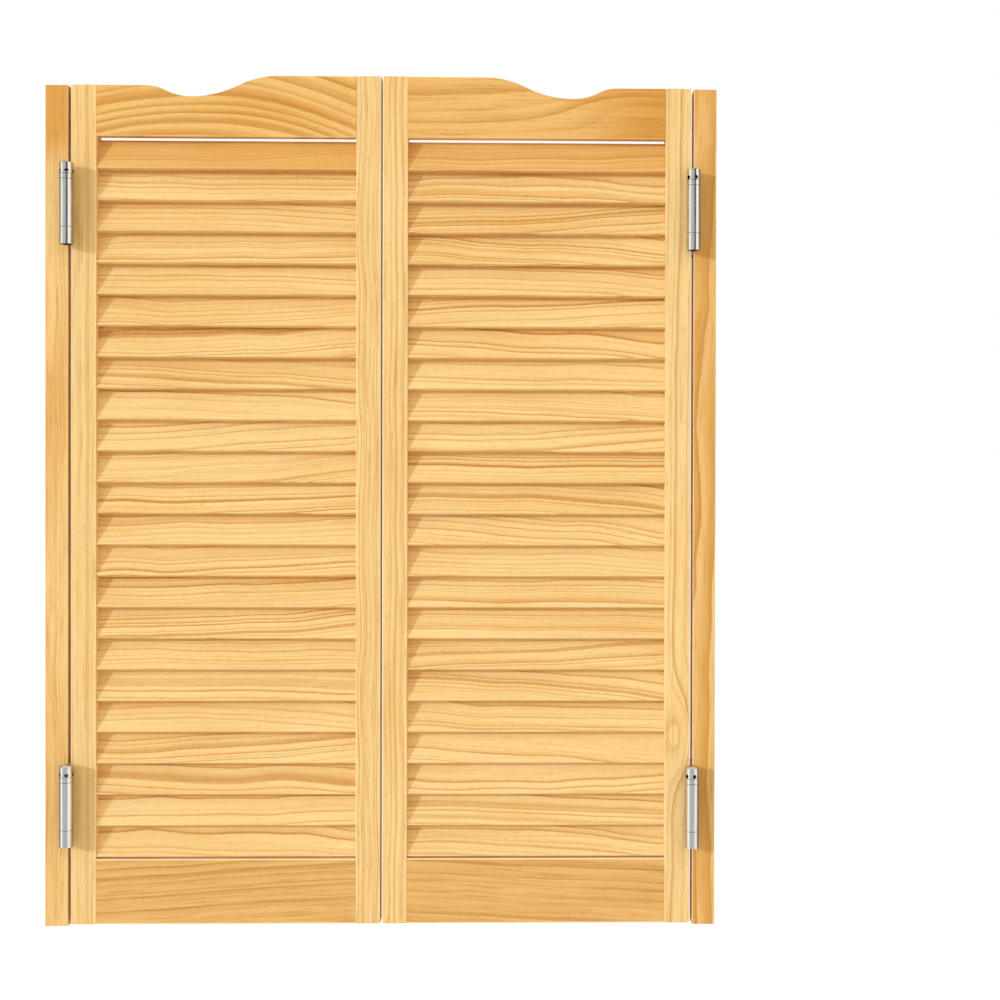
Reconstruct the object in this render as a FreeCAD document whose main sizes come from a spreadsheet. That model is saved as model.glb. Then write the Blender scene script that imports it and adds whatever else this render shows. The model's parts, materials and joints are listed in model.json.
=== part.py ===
import FreeCAD, Part
import math
import os
import Sketcher

# Cafe swinging doors: two short louvred doors, each hung on two double-action spring hinges from a
# jamb strip, so that they swing both ways and close by themselves.
# Millimetres. X is to the right, Y to the back, Z up. The origin is on the floor line of the jamb
# strips, half way between the doors and half way through their thickness.

SIZES = {
    # jamb strips
    "strip_width": 28.7,
    "strip_length": 1055.0,
    "wall_screw_spacing": 480.0,
    "wall_screw_hole": 5.0,
    "wall_screw_head": 9.0,
    # doors
    "door_thickness": 25.0,
    "door_foot": 2.0,
    "centre_gap": 2.3,
    "hinge_stile_width": 32.0,
    "opening_width": 325.0,
    "opening_height": 907.8,
    "meeting_stile_width": 31.25,
    "bottom_rail_height": 82.0,
    "arris": 1.0,
    # scalloped top rail: a short fall into a valley, then a long rise to the meeting stile
    "top_rail_low": 64.0,
    "top_rail_high": 77.0,
    "scallop_start": 62.0,
    "scallop_valley": 117.0,
    "scallop_end": 229.0,
    "scallop_depth": 13.5,
    "shoulder_radius": 49.0,
    "valley_radius": 134.0,
    "rail_bevel_run": 12.5,
    "rail_bevel_rise": 4.0,
    # slats and the mortises that hold their ends
    "slat_count": 23,
    "slat_pitch": 39.32,
    "slat_rise": 21.6,
    "slat_forward": 1.1,
    "slat_thickness": 7.0,
    "slat_depth": 42.5,
    "slat_tilt": 20.0,
    "slat_corner": 1.2,
    "mortise_depth": 6.0,
    "mortise_play": 0.1,
    "slat_end_play": 0.3,
    "top_slat_clearance": 2.4,
    # dowels between rails and stiles
    "dowel_radius": 4.0,
    "dowel_length": 40.0,
    "dowel_play": 0.1,
    "dowel_end_room": 0.5,
    "dowel_chamfer": 0.8,
    "dowel_inset": 19.0,
    # hinges
    "left_lower_hinge_foot": 102.9,
    "left_upper_hinge_foot": 853.9,
    "right_lower_hinge_foot": 99.9,
    "right_upper_hinge_foot": 850.2,
    "hinge_metal": 1.0,
    "hinge_play": 0.15,
    "barrel_spacing": 52.0,
    "barrel_radius": 8.5,
    "bottom_knuckle": 21.0,
    "middle_knuckle": 59.0,
    "top_knuckle": 6.0,
    "collar_height": 15.0,
    "end_play": 0.5,
    "running_play": 0.1,
    "leaf_free_edge": 15.9,
    "leaf_cutback": 15.7,
    "web_cutback": 16.5,
    # holes and screws of the hinge leaves: two columns of two
    "screw_column_near": 6.5,
    "screw_column_far": 4.6,
    "screw_height_first": 12.2,
    "screw_height_second": 38.2,
    "screw_height_third": 64.1,
    "screw_height_fourth": 90.7,
    "leaf_hole": 4.4,
    "leaf_hole_mouth": 7.8,
    "pilot_hole": 4.1,
    "pilot_mouth": 6.0,
    "pilot_depth": 24.0,
    "screw_head_radius": 3.75,
    "screw_rim": 0.1,
    "screw_shank_radius": 1.95,
    "screw_length": 25.0,
    "screw_point": 4.0,
    "recess_length": 4.4,
    "recess_width": 0.9,
    "recess_depth": 1.5,
    # inside the barrels
    "plug_reach": 7.0,
    "stem_reach": 8.0,
    "rod_radius": 3.5,
    "rod_socket_play": 0.1,
    "rod_end_room": 1.0,
    "socket_depth": 15.0,
    "nub_radius": 2.6,
    "nub_height": 1.2,
    "spring_radius": 5.3,
    "spring_wire_radius": 1.0,
    "spring_pitch": 3.4,
    # tension collar and its stop pin
    "collar_bevel": 1.2,
    "collar_dome": 0.6,
    "bar_hole": 5.0,
    "bar_holes": 5,
    "bar_hole_drop": 12.0,
    "stop_pin_angle": 19.4,
    "stop_pin_radius": 1.75,
    "stop_pin_length": 13.0,
    "stop_pin_start": 0.4,
    "stop_pin_chamfer": 0.4,
}

# Places and sizes that follow from the sheet
DOOR_WIDTH = "(sizes.hinge_stile_width + sizes.opening_width + sizes.meeting_stile_width)"
SIDE_GAP = "(3 * sizes.hinge_metal + 2 * sizes.hinge_play)"
HINGE_X = f"(sizes.centre_gap / 2 + {DOOR_WIDTH} + {SIDE_GAP} / 2)"
STRIP_X = f"({HINGE_X} + {SIDE_GAP} / 2 + sizes.strip_width / 2)"
HINGE_STILE_X = f"({HINGE_X} - {SIDE_GAP} / 2 - sizes.hinge_stile_width / 2)"
MEETING_STILE_X = "(sizes.centre_gap / 2 + sizes.meeting_stile_width / 2)"
OPENING_X = "(sizes.centre_gap / 2 + sizes.meeting_stile_width + sizes.opening_width / 2)"
OPENING_FOOT = "(sizes.door_foot + sizes.bottom_rail_height)"
OPENING_TOP = f"({OPENING_FOOT} + sizes.opening_height)"
HINGE_STILE_HEIGHT = "(sizes.bottom_rail_height + sizes.opening_height + sizes.top_rail_low)"
MEETING_STILE_HEIGHT = "(sizes.bottom_rail_height + sizes.opening_height + sizes.top_rail_high)"
FIRST_SLAT = "(sizes.bottom_rail_height + sizes.slat_rise)"
SLAT_Y = "(-sizes.slat_forward)"
SLAT_SPAN = "((sizes.slat_count - 1) * sizes.slat_pitch)"
MIDDLE_FOOT = "(sizes.bottom_knuckle + sizes.end_play)"
MIDDLE_TOP = f"({MIDDLE_FOOT} + sizes.middle_knuckle)"
TOP_KNUCKLE_FOOT = f"({MIDDLE_TOP} + sizes.end_play)"
TOP_KNUCKLE_TOP = f"({TOP_KNUCKLE_FOOT} + sizes.top_knuckle)"
COLLAR_FOOT = f"({TOP_KNUCKLE_TOP} + sizes.end_play)"
COLLAR_TOP = f"({COLLAR_FOOT} + sizes.collar_height)"
BORE_RADIUS = "(sizes.barrel_radius - sizes.hinge_metal)"
BARREL_Y = "(sizes.barrel_spacing / 2)"
PLATE_REACH = f"({BARREL_Y} - sizes.barrel_radius + sizes.hinge_metal / 2)"
LEAF_FACE = "(-sizes.hinge_metal / 2 - sizes.hinge_play)"
STEM_FOOT = f"({MIDDLE_TOP} - sizes.stem_reach)"
SOCKET_TOP = f"({STEM_FOOT} + sizes.socket_depth)"
PLUG_TOP = f"({MIDDLE_FOOT} + sizes.plug_reach)"
SCREW_HEIGHTS = ("first", "second", "third", "fourth")
HINGE_LEVELS = ("upper", "lower")

UP = FreeCAD.Vector(0, 0, 1)
ORIGIN_POINT = (-1, 1)
X_LINE = -1
Y_LINE = -2
START = 1
END = 2
CENTRE = 3

doc = FreeCAD.newDocument("cafe_swinging_doors")
sizes = doc.addObject("Spreadsheet::Sheet", "sizes")
for row, (alias, number) in enumerate(SIZES.items(), start=1):
    sizes.set(f"A{row}", alias)
    sizes.set(f"B{row}", str(number))
    sizes.setAlias(f"B{row}", alias)
doc.recompute()

pieces = []


def value(expression):
    """The number that an expression of the sheet's aliases has now."""
    return float(sizes.evalExpression(expression))


def minus(expression):
    return f"(-{expression})"


# ---------------------------------------------------------------- bodies, sketches and features


def new_body(label):
    """A body that is one of the sub-parts and gives its label to the file."""
    body = doc.addObject("PartDesign::Body", label)
    body.Label = label
    pieces.append(body)
    return body


def origin_part(body, role):
    return next(feature for feature in body.Origin.OriginFeatures if feature.Role == role)


def new_sketch(body, name, plane, lift="0", turn=None, turn_axis=UP):
    """A sketch on one of the body's origin planes, lifted along its normal and turned in it."""
    sketch = body.newObject("Sketcher::SketchObject", name)
    sketch.AttachmentSupport = (origin_part(body, plane), [""])
    sketch.MapMode = "FlatFace"
    if turn:
        rotation = FreeCAD.Rotation(turn_axis, value(turn))
        sketch.AttachmentOffset = FreeCAD.Placement(FreeCAD.Vector(), rotation)
        sketch.setExpression("AttachmentOffset.Rotation.Angle", turn)
    sketch.setExpression("AttachmentOffset.Base.z", lift)
    return sketch


def bind(sketch, kind, *where, expression):
    """Adds a dimension to the sketch and binds it to the expression."""
    index = sketch.addConstraint(Sketcher.Constraint(kind, *where, value(expression)))
    sketch.setExpression(f"Constraints[{index}]", expression)


def pin_point(sketch, edge, point, x, y):
    """Holds one point of an edge at the two expressions from the sketch's origin."""
    if x == "0":
        sketch.addConstraint(Sketcher.Constraint("PointOnObject", edge, point, Y_LINE))
    else:
        bind(sketch, "DistanceX", *ORIGIN_POINT, edge, point, expression=x)
    if y == "0":
        sketch.addConstraint(Sketcher.Constraint("PointOnObject", edge, point, X_LINE))
    else:
        bind(sketch, "DistanceY", *ORIGIN_POINT, edge, point, expression=y)


def draw_polygon(sketch, corners):
    """A closed outline of straight lines through corners given as pairs of expressions."""
    spots = [FreeCAD.Vector(value(x), value(y), 0) for x, y in corners]
    first = sketch.GeometryCount
    count = len(corners)
    for index in range(count):
        line = Part.LineSegment(spots[index], spots[(index + 1) % count])
        sketch.addGeometry(line, False)
    for index in range(count):
        following = first + (index + 1) % count
        sketch.addConstraint(Sketcher.Constraint("Coincident", first + index, END, following, START))
    for index, (x, y) in enumerate(corners):
        pin_point(sketch, first + index, START, x, y)


def draw_circle(sketch, x, y, radius):
    centre = FreeCAD.Vector(value(x), value(y), 0)
    edge = sketch.addGeometry(Part.Circle(centre, UP, value(radius)), False)
    pin_point(sketch, edge, CENTRE, x, y)
    bind(sketch, "Radius", edge, expression=radius)


def arc(x, y, radius, start_degrees, end_degrees):
    circle = Part.Circle(FreeCAD.Vector(x, y, 0), UP, radius)
    return Part.ArcOfCircle(circle, math.radians(start_degrees), math.radians(end_degrees))


def draw_rounded_rectangle(sketch, width, height, radius):
    """A rectangle centred on the origin with round corners: lines and arcs, tangent all the way."""
    half_wide = value(width) / 2
    half_high = value(height) / 2
    corner = value(radius)
    middle_x = half_wide - corner
    middle_y = half_high - corner
    sides = [
        ((-middle_x, -half_high), (middle_x, -half_high)),
        ((half_wide, -middle_y), (half_wide, middle_y)),
        ((middle_x, half_high), (-middle_x, half_high)),
        ((-half_wide, middle_y), (-half_wide, -middle_y)),
    ]
    centres = [(middle_x, -middle_y), (middle_x, middle_y), (-middle_x, middle_y), (-middle_x, -middle_y)]
    for quarter, (side, centre) in enumerate(zip(sides, centres)):
        ends = [FreeCAD.Vector(x, y, 0) for x, y in side]
        sketch.addGeometry(Part.LineSegment(*ends), False)
        start = 90 * quarter - 90
        sketch.addGeometry(arc(*centre, corner, start, start + 90), False)
    for edge in range(8):
        sketch.addConstraint(Sketcher.Constraint("Tangent", edge, END, (edge + 1) % 8, START))
    for edge in (0, 4):
        sketch.addConstraint(Sketcher.Constraint("Horizontal", edge))
        sketch.addConstraint(Sketcher.Constraint("Vertical", edge + 2))
    for edge in (3, 5, 7):
        sketch.addConstraint(Sketcher.Constraint("Equal", 1, edge))
    bind(sketch, "Radius", 1, expression=radius)
    bind(sketch, "DistanceX", 6, START, 2, START, expression=width)
    bind(sketch, "DistanceY", 0, START, 4, START, expression=height)
    bind(sketch, "DistanceX", *ORIGIN_POINT, 2, START, expression=f"{width} / 2")
    bind(sketch, "DistanceY", *ORIGIN_POINT, 4, START, expression=f"{height} / 2")


def pad(body, sketch, length, reverse=False, midplane=False):
    feature = body.newObject("PartDesign::Pad", f"{sketch.Name}_pad")
    feature.Profile = sketch
    feature.setExpression("Length", length)
    feature.Reversed = reverse
    feature.Midplane = midplane
    return feature


def pocket(body, sketch, depth, reverse=False, midplane=False):
    """Cuts the sketch into the body, and stops the build if it takes nothing away."""
    doc.recompute()
    before = body.Shape.Volume
    feature = body.newObject("PartDesign::Pocket", f"{sketch.Name}_pocket")
    feature.Profile = sketch
    feature.setExpression("Length", depth)
    feature.Reversed = reverse
    feature.Midplane = midplane
    doc.recompute()
    if body.Shape.Volume >= before:
        raise RuntimeError(f"{feature.Label} in {body.Label} cuts nothing")
    return feature


def countersunk_holes(body, sketch, diameter, mouth, depth=None, reverse=False):
    """Drills a countersunk hole at each circle of the sketch, through the body or to a depth."""
    doc.recompute()
    before = body.Shape.Volume
    feature = body.newObject("PartDesign::Hole", f"{sketch.Name}_drilled")
    feature.Profile = sketch
    doc.recompute()
    feature.Threaded = False
    feature.Reversed = reverse
    feature.DepthType = "Dimension" if depth else "ThroughAll"
    feature.DrillPoint = "Flat"
    feature.HoleCutType = "Countersink"
    feature.HoleCutCustomValues = True
    feature.HoleCutCountersinkAngle = 90
    feature.setExpression("Diameter", diameter)
    feature.setExpression("HoleCutDiameter", mouth)
    if depth:
        feature.setExpression("Depth", depth)
    doc.recompute()
    if body.Shape.Volume >= before:
        raise RuntimeError(f"{feature.Label} in {body.Label} cuts nothing")
    return feature


def row_pattern(body, feature, span, count):
    """Repeats a feature along the body's Z axis."""
    pattern = body.newObject("PartDesign::LinearPattern", f"{feature.Name}_row")
    pattern.Originals = [feature]
    pattern.Direction = (origin_part(body, "Z_Axis"), [""])
    pattern.setExpression("Length", span)
    pattern.setExpression("Occurrences", count)
    body.Tip = pattern
    return pattern


def ring_pattern(body, feature, angle, count):
    """Repeats a feature around the body's Z axis."""
    pattern = body.newObject("PartDesign::PolarPattern", f"{feature.Name}_ring")
    pattern.Originals = [feature]
    pattern.Axis = (origin_part(body, "Z_Axis"), [""])
    pattern.Angle = angle
    pattern.setExpression("Occurrences", count)
    body.Tip = pattern
    return pattern


def turned(body, outline):
    """Revolves an outline of (radius, height) expressions about the body's Z axis."""
    sketch = new_sketch(body, "profile", "XZ_Plane")
    draw_polygon(sketch, outline)
    feature = body.newObject("PartDesign::Revolution", "turning")
    feature.Profile = sketch
    feature.ReferenceAxis = (origin_part(body, "Z_Axis"), [""])
    feature.Angle = 360
    return feature


def place(piece, x="0", y="0", z="0", turn=0):
    """Stands a piece at three expressions, turned about the vertical by degrees."""
    piece.Placement = FreeCAD.Placement(FreeCAD.Vector(), FreeCAD.Rotation(UP, turn))
    for axis, where in zip("xyz", (x, y, z)):
        piece.setExpression(f"Placement.Base.{axis}", where)


def group_of_copies(label, master, places):
    """One node of separate, identical solids: linked copies of the master, each at (x, y, z, rotation)."""
    copies = []
    for x, y, z, rotation in places:
        copy = doc.addObject("App::Link", f"{label}_{len(copies) + 1}")
        copy.LinkedObject = master
        copy.Placement = FreeCAD.Placement(FreeCAD.Vector(), rotation)
        for axis, where in zip("xyz", (x, y, z)):
            copy.setExpression(f"Placement.Base.{axis}", where)
        copies.append(copy)
    group = doc.addObject("Part::Compound", label)
    group.Label = label
    group.Links = copies
    pieces.append(group)
    return group


# ---------------------------------------------------------------- fasteners that are repeated


def make_dowel():
    """A fluted dowel's plain form, lying along X from its middle, with chamfered ends."""
    half = "(sizes.dowel_length / 2)"
    short = "(sizes.dowel_radius - sizes.dowel_chamfer)"
    body = doc.addObject("PartDesign::Body", "dowel_master")
    outline = [
        ("0", minus(half)),
        (short, minus(half)),
        ("sizes.dowel_radius", f"({minus(half)} + sizes.dowel_chamfer)"),
        ("sizes.dowel_radius", f"({half} - sizes.dowel_chamfer)"),
        (short, half),
        ("0", half),
    ]
    turned(body, outline)
    return body


def make_screw():
    """A countersunk wood screw with a cross recess, its head's face at z 0 and its point below."""
    body = doc.addObject("PartDesign::Body", "screw_master")
    cone_foot = "(-sizes.screw_rim - sizes.screw_head_radius + sizes.screw_shank_radius)"
    outline = [
        ("0", "0"),
        ("sizes.screw_head_radius", "0"),
        ("sizes.screw_head_radius", minus("sizes.screw_rim")),
        ("sizes.screw_shank_radius", cone_foot),
        ("sizes.screw_shank_radius", "(-sizes.screw_length + sizes.screw_point)"),
        ("0", minus("sizes.screw_length")),
    ]
    turned(body, outline)
    sketch = new_sketch(body, "recess", "XY_Plane")
    half_long = "(sizes.recess_length / 2)"
    half_wide = "(sizes.recess_width / 2)"
    corners = [
        (minus(half_long), minus(half_wide)),
        (half_long, minus(half_wide)),
        (half_long, half_wide),
        (minus(half_long), half_wide),
    ]
    draw_polygon(sketch, corners)
    slot = pocket(body, sketch, "sizes.recess_depth")
    ring_pattern(body, slot, 90, "2")
    return body


def make_stop_pin():
    """A plain steel pin along X, from its inner end, with eased ends."""
    long = "sizes.stop_pin_length"
    ease = "sizes.stop_pin_chamfer"
    body = doc.addObject("PartDesign::Body", "stop_pin_master")
    short = f"(sizes.stop_pin_radius - {ease})"
    outline = [
        ("0", "0"),
        (short, "0"),
        ("sizes.stop_pin_radius", ease),
        ("sizes.stop_pin_radius", f"({long} - {ease})"),
        (short, long),
        ("0", long),
    ]
    turned(body, outline)
    return body


# ---------------------------------------------------------------- jamb strips and doors


def leaf_hole_centres(way):
    """Where a leaf's four screws go: (y, height) pairs, the columns swapped on the other hand."""
    columns = (f"({-way} * sizes.screw_column_near)", f"({way} * sizes.screw_column_far)")
    return [
        (columns[index % 2], f"sizes.screw_height_{height}") for index, height in enumerate(SCREW_HEIGHTS)
    ]


def hinge_foot(side, level):
    """The height of a hinge's foot. The two sides' hinges are not at quite the same heights."""
    return f"sizes.{side}_{level}_hinge_foot"


def drill_for_leaves(body, side, face, way, foot="0", reverse=False):
    """Pilot holes for the screws of both hinges' leaves in one edge of a stile or strip."""
    sketch = new_sketch(body, "leaf_screws", "YZ_Plane", lift=face)
    for level in HINGE_LEVELS:
        for y, height in leaf_hole_centres(way):
            above = f"({hinge_foot(side, level)} + {height} - {foot})"
            draw_circle(sketch, y, above, "sizes.pilot_hole / 2")
    countersunk_holes(body, sketch, "sizes.pilot_hole", "sizes.pilot_mouth", "sizes.pilot_depth", reverse)


def make_jamb_strip(side, turn):
    """A plain strip that is screwed to the wall; its face towards the door is at +X before the turn."""
    body = new_body(f"{side}_jamb_strip")
    section = new_sketch(body, "section", "XY_Plane")
    draw_rounded_rectangle(section, "sizes.strip_width", "sizes.door_thickness", "sizes.arris")
    pad(body, section, "sizes.strip_length")
    face = "(sizes.strip_width / 2)"
    drill_for_leaves(body, side, face, way=1)
    wall_screws = new_sketch(body, "wall_screws", "YZ_Plane", lift=face)
    for step in (-1, 0, 1):
        height = f"(sizes.strip_length / 2 + {step} * sizes.wall_screw_spacing)"
        draw_circle(wall_screws, "0", height, "sizes.wall_screw_hole / 2")
    countersunk_holes(body, wall_screws, "sizes.wall_screw_hole", "sizes.wall_screw_head")
    x = STRIP_X if turn else minus(STRIP_X)
    place(body, x=x, turn=turn)


def dowel_heights():
    """Heights of the four dowels of one joint line above the door's foot: two in each rail."""
    opening = "(sizes.bottom_rail_height + sizes.opening_height)"
    return [
        "sizes.dowel_inset",
        "(sizes.bottom_rail_height - sizes.dowel_inset)",
        f"({opening} + sizes.dowel_inset)",
        f"({opening} + sizes.top_rail_low - sizes.dowel_inset)",
    ]


def make_stile(side, kind, x, width, height, way, hinge_way=0):
    """An upright of a door, with mortises and dowel holes on its side towards the slats.

    way is 1 where the slats are on its +X side and -1 where they are on its -X side. hinge_way is 0
    on a meeting stile, and otherwise the hand of the door leaf's screws in its other side.
    """
    body = new_body(f"{side}_{kind}_stile")
    section = new_sketch(body, "section", "XY_Plane")
    draw_rounded_rectangle(section, width, "sizes.door_thickness", "sizes.arris")
    pad(body, section, height)
    inner_face = f"({way} * {width} / 2)"
    dowels = new_sketch(body, "dowel_holes", "YZ_Plane", lift=inner_face)
    for dowel_height in dowel_heights():
        draw_circle(dowels, "0", dowel_height, "(sizes.dowel_radius + sizes.dowel_play)")
    pocket(body, dowels, "(sizes.dowel_length / 2 + sizes.dowel_end_room)", reverse=way < 0)
    if hinge_way:
        outer_face = f"({-way} * {width} / 2)"
        drill_for_leaves(body, side, outer_face, hinge_way, foot="sizes.door_foot", reverse=way > 0)
    slot = new_sketch(body, "mortise", "YZ_Plane", lift=inner_face, turn="-sizes.slat_tilt")
    slot.setExpression("AttachmentOffset.Base.x", SLAT_Y)
    slot.setExpression("AttachmentOffset.Base.y", FIRST_SLAT)
    draw_rounded_rectangle(
        slot,
        "(sizes.slat_thickness + 2 * sizes.mortise_play)",
        "(sizes.slat_depth + 2 * sizes.mortise_play)",
        "(sizes.slat_corner + sizes.mortise_play)",
    )
    mortise = pocket(body, slot, "sizes.mortise_depth", reverse=way < 0)
    row_pattern(body, mortise, SLAT_SPAN, "sizes.slat_count")
    place(body, x=x, z="sizes.door_foot")


def ease_long_edges(body, base):
    """Rounds the edges of a rail's front and back, and leaves its ends square for the stiles."""
    doc.recompute()
    half_long = value("sizes.opening_width / 2")
    half_thick = value("sizes.door_thickness / 2")
    names = []
    for number, edge in enumerate(base.Shape.Edges, start=1):
        points = [vertex.Point for vertex in edge.Vertexes]
        on_face = all(abs(abs(point.y) - half_thick) < 0.001 for point in points)
        same_side = points[0].y * points[-1].y > 0
        at_end = all(abs(abs(point.x) - half_long) < 0.001 for point in points)
        along = abs(points[0].x - points[-1].x) > 1
        if on_face and same_side and (along or not at_end):
            names.append(f"Edge{number}")
    rounding = body.newObject("PartDesign::Fillet", "eased_edges")
    rounding.Base = (base, names)
    rounding.setExpression("Radius", "sizes.arris")
    doc.recompute()


def drill_rail_ends(body, heights):
    """Dowel holes in both ends of a rail."""
    for way in (-1, 1):
        end = f"({way} * sizes.opening_width / 2)"
        sketch = new_sketch(body, "dowel_holes", "YZ_Plane", lift=end)
        for height in heights:
            draw_circle(sketch, "0", height, "(sizes.dowel_radius + sizes.dowel_play)")
        pocket(body, sketch, "(sizes.dowel_length / 2 + sizes.dowel_end_room)", reverse=way < 0)


def make_bottom_rail(side, x):
    body = new_body(f"{side}_bottom_rail")
    half = "(sizes.opening_width / 2)"
    face = new_sketch(body, "face", "XZ_Plane")
    corners = [
        (minus(half), "0"),
        (half, "0"),
        (half, "sizes.bottom_rail_height"),
        (minus(half), "sizes.bottom_rail_height"),
    ]
    draw_polygon(face, corners)
    board = pad(body, face, "sizes.door_thickness", midplane=True)
    ease_long_edges(body, board)
    drill_rail_ends(body, ["sizes.dowel_inset", "(sizes.bottom_rail_height - sizes.dowel_inset)"])
    place(body, x=x, z="sizes.door_foot")


def scallop_arcs(start, valley, end, low, bottom, high):
    """The four arcs of the scallop from the low flat to the high flat, each tangent to the next.

    Two arcs of radii a and b that swing from level to level, over a run and a drop, turn by
    2 * atan(drop / run), and a + b is the run divided by the sine of that turn.
    """
    shoulder = value("sizes.shoulder_radius")
    valley_rise = value("sizes.valley_radius")
    fall_turn = 2 * math.atan((low - bottom) / (valley - start))
    rise_turn = 2 * math.atan((high - bottom) / (end - valley))
    valley_fall = (valley - start) / math.sin(fall_turn) - shoulder
    crest = (end - valley) / math.sin(rise_turn) - valley_rise
    fall = math.degrees(fall_turn)
    rise = math.degrees(rise_turn)
    return [
        arc(start, low - shoulder, shoulder, 90 - fall, 90),
        arc(valley, bottom + valley_fall, valley_fall, 270 - fall, 270),
        arc(valley, bottom + valley_rise, valley_rise, 270, 270 + rise),
        arc(end, high - crest, crest, 90, 90 + rise),
    ]


def draw_top_rail_face(sketch):
    """The top rail's face: three straight sides and a scalloped top of two flats and four arcs."""
    half = value("sizes.opening_width / 2")
    low = value("sizes.top_rail_low")
    high = value("sizes.top_rail_high")
    bottom = low - value("sizes.scallop_depth")
    start, valley, end = (value(f"sizes.scallop_{name}") - half for name in ("start", "valley", "end"))
    corners = [(start, low), (-half, low), (-half, 0), (half, 0), (half, high), (end, high)]
    spots = [FreeCAD.Vector(x, y, 0) for x, y in corners]
    for near, far in zip(spots, spots[1:]):
        sketch.addGeometry(Part.LineSegment(near, far), False)
    for curve in scallop_arcs(start, valley, end, low, bottom, high):
        sketch.addGeometry(curve, False)
    low_flat, hinge_end, foot, meeting_end, high_flat, shoulder, fall, rise, crest = range(9)
    straight = (low_flat, hinge_end, foot, meeting_end, high_flat)
    for near, far in zip(straight, straight[1:]):
        sketch.addConstraint(Sketcher.Constraint("Coincident", near, END, far, START))
    joints = [
        (low_flat, START, shoulder, END),
        (shoulder, START, fall, START),
        (fall, END, rise, START),
        (rise, END, crest, END),
        (crest, START, high_flat, END),
    ]
    for joint in joints:
        sketch.addConstraint(Sketcher.Constraint("Tangent", *joint))
    hinge_side = "(-sizes.opening_width / 2)"
    pin_point(sketch, hinge_end, START, hinge_side, "sizes.top_rail_low")
    pin_point(sketch, foot, START, hinge_side, "0")
    pin_point(sketch, meeting_end, START, "(sizes.opening_width / 2)", "0")
    pin_point(sketch, high_flat, START, "(sizes.opening_width / 2)", "sizes.top_rail_high")
    pin_point(sketch, low_flat, START, f"({hinge_side} + sizes.scallop_start)", "sizes.top_rail_low")
    valley_height = "(sizes.top_rail_low - sizes.scallop_depth)"
    pin_point(sketch, rise, START, f"({hinge_side} + sizes.scallop_valley)", valley_height)
    pin_point(sketch, high_flat, END, f"({hinge_side} + sizes.scallop_end)", "sizes.top_rail_high")
    bind(sketch, "Radius", shoulder, expression="sizes.shoulder_radius")
    bind(sketch, "Radius", rise, expression="sizes.valley_radius")


def make_top_rail(side, x, turn):
    """The scalloped rail, turned half round on the right. Its foot is bevelled at the back."""
    body = new_body(f"{side}_top_rail")
    face = new_sketch(body, "face", "XZ_Plane")
    draw_top_rail_face(face)
    board = pad(body, face, "sizes.door_thickness", midplane=True)
    ease_long_edges(body, board)
    drill_rail_ends(body, ["sizes.dowel_inset", "(sizes.top_rail_low - sizes.dowel_inset)"])
    bevel = new_sketch(body, "bevel", "YZ_Plane")
    back = "(sizes.door_thickness / 2)" if turn == 0 else "(-sizes.door_thickness / 2)"
    ridge = f"({back} - sizes.rail_bevel_run)" if turn == 0 else f"({back} + sizes.rail_bevel_run)"
    draw_polygon(bevel, [(ridge, "0"), (back, "0"), (back, "sizes.rail_bevel_rise")])
    pocket(body, bevel, "(2 * sizes.opening_width)", midplane=True)
    place(body, x=x, z=OPENING_TOP, turn=turn)


def make_slats(side, x):
    """The slats of one door, their lower edges towards the front and their ends in the mortises.

    They stand a little forward of the middle, so that they are nearly flush with the front. The top
    slat is planed down between the stiles, to clear the rail.
    """
    body = new_body(f"{side}_louvre_slats")
    body.AllowCompound = True
    section = new_sketch(body, "section", "YZ_Plane", turn="-sizes.slat_tilt")
    draw_rounded_rectangle(section, "sizes.slat_thickness", "sizes.slat_depth", "sizes.slat_corner")
    length = "(sizes.opening_width + 2 * sizes.mortise_depth - 2 * sizes.slat_end_play)"
    slat = pad(body, section, length, midplane=True)
    doc.recompute()
    row_pattern(body, slat, SLAT_SPAN, "sizes.slat_count")
    planing = new_sketch(body, "planing", "YZ_Plane")
    rail_foot = "(sizes.bottom_rail_height + sizes.opening_height)"
    planed_top = f"({rail_foot} - sizes.top_slat_clearance - {FIRST_SLAT})"
    back = "(sizes.door_thickness / 2)"
    clear = f"({SLAT_SPAN} + sizes.slat_depth)"
    corners = [(minus(back), planed_top), (back, planed_top), (back, clear), (minus(back), clear)]
    draw_polygon(planing, corners)
    pocket(body, planing, "sizes.opening_width", midplane=True)
    place(body, x=x, y=SLAT_Y, z=f"(sizes.door_foot + {FIRST_SLAT})")


def make_dowels(side, sign, dowel):
    """Eight dowels of one door, four at each side of the opening."""
    lying = FreeCAD.Rotation(FreeCAD.Vector(0, 1, 0), 90)
    places = []
    for end in (-1, 1):
        x = f"({sign} * {OPENING_X} + {end} * sizes.opening_width / 2)"
        for height in dowel_heights():
            places.append((x, "0", f"(sizes.door_foot + {height})", lying))
    group_of_copies(f"{side}_dowels", dowel, places)


def make_door(side, sign, dowel):
    """One louvred door; sign is -1 for the left one and 1 for the right one."""
    hinge_stile_x = f"({sign} * {HINGE_STILE_X})"
    meeting_stile_x = f"({sign} * {MEETING_STILE_X})"
    opening_x = f"({sign} * {OPENING_X})"
    hinge_width = "sizes.hinge_stile_width"
    meeting_width = "sizes.meeting_stile_width"
    make_stile(side, "hinge", hinge_stile_x, hinge_width, HINGE_STILE_HEIGHT, -sign, sign)
    make_stile(side, "meeting", meeting_stile_x, meeting_width, MEETING_STILE_HEIGHT, sign)
    make_top_rail(side, opening_x, turn=0 if sign < 0 else 180)
    make_bottom_rail(side, opening_x)
    make_slats(side, opening_x)
    make_dowels(side, sign, dowel)


# ---------------------------------------------------------------- double-action spring hinges


def draw_tube(sketch, y):
    draw_circle(sketch, "0", y, "sizes.barrel_radius")
    draw_circle(sketch, "0", y, BORE_RADIUS)


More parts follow.
